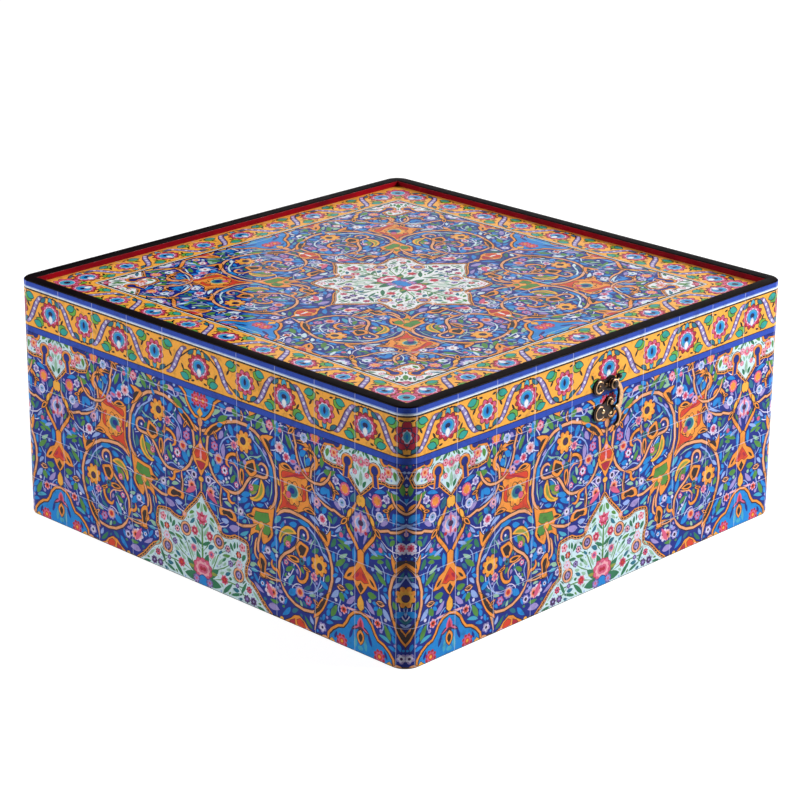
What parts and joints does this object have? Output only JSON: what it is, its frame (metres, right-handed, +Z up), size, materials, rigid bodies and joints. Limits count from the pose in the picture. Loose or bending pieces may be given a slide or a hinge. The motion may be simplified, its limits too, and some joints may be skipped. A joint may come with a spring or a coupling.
{
  "type": "decoupage box",
  "caption": "Square hinged box covered in a lacquered paper print of tile arabesques, with a recessed picture on the lid and a swinging hook latch.",
  "frame": {"origin": "middle of the underside, on the surface that the box stands on", "axes": "+Z up, -Y to the front with the latch, +X to the right seen from the front"},
  "size_m": [0.3, 0.3118, 0.1387],
  "materials": {
    "painted_board": "fibreboard, black lacquer on the rim and red paint inside",
    "painted_panel": "fibreboard, red satin paint",
    "lacquered_print": "printed paper under thick gloss lacquer",
    "antique_bronze": "dark antique bronze plating, worn bright on the edges",
    "bronzed_nail": "bronzed round head, rubbed bright"
  },
  "bodies": {
    "base": {"base_front_board": "painted_board", "base_right_board": "painted_board", "base_back_board": "painted_board", "base_left_board": "painted_board", "base_bottom_panel": "painted_panel", "base_print_wrap": "lacquered_print", "hinge_left_base_leaf": "antique_bronze", "hinge_right_base_leaf": "antique_bronze", "hinge_left_pin": "antique_bronze", "hinge_right_pin": "antique_bronze", "hinge_base_nails": "bronzed_nail", "latch_base_plate": "antique_bronze", "latch_stud": "antique_bronze", "latch_base_nails": "bronzed_nail"},
    "lid": {"lid_front_rail": "painted_board", "lid_right_rail": "painted_board", "lid_back_rail": "painted_board", "lid_left_rail": "painted_board", "lid_top_panel": "painted_panel", "lid_top_print": "lacquered_print", "lid_print_wrap": "lacquered_print", "hinge_left_lid_leaf": "antique_bronze", "hinge_right_lid_leaf": "antique_bronze", "hinge_lid_nails": "bronzed_nail", "latch_lid_plate": "antique_bronze", "latch_rivet": "antique_bronze", "latch_lid_nails": "bronzed_nail"},
    "hook": {"latch_hook": "antique_bronze"}
  },
  "joints": [
    {"name": "lid_hinge", "type": "hinge", "parent": "base", "child": "lid", "pos_m": [0, 0.15205, 0.109], "axis": [-1, 0, 0], "range_deg": [0, 105]},
    {"name": "hook_swing", "type": "hinge", "parent": "lid", "child": "hook", "pos_m": [0.001, -0.1531, 0.115], "axis": [0, -1, 0], "range_deg": [-14, 90]}
  ]
}
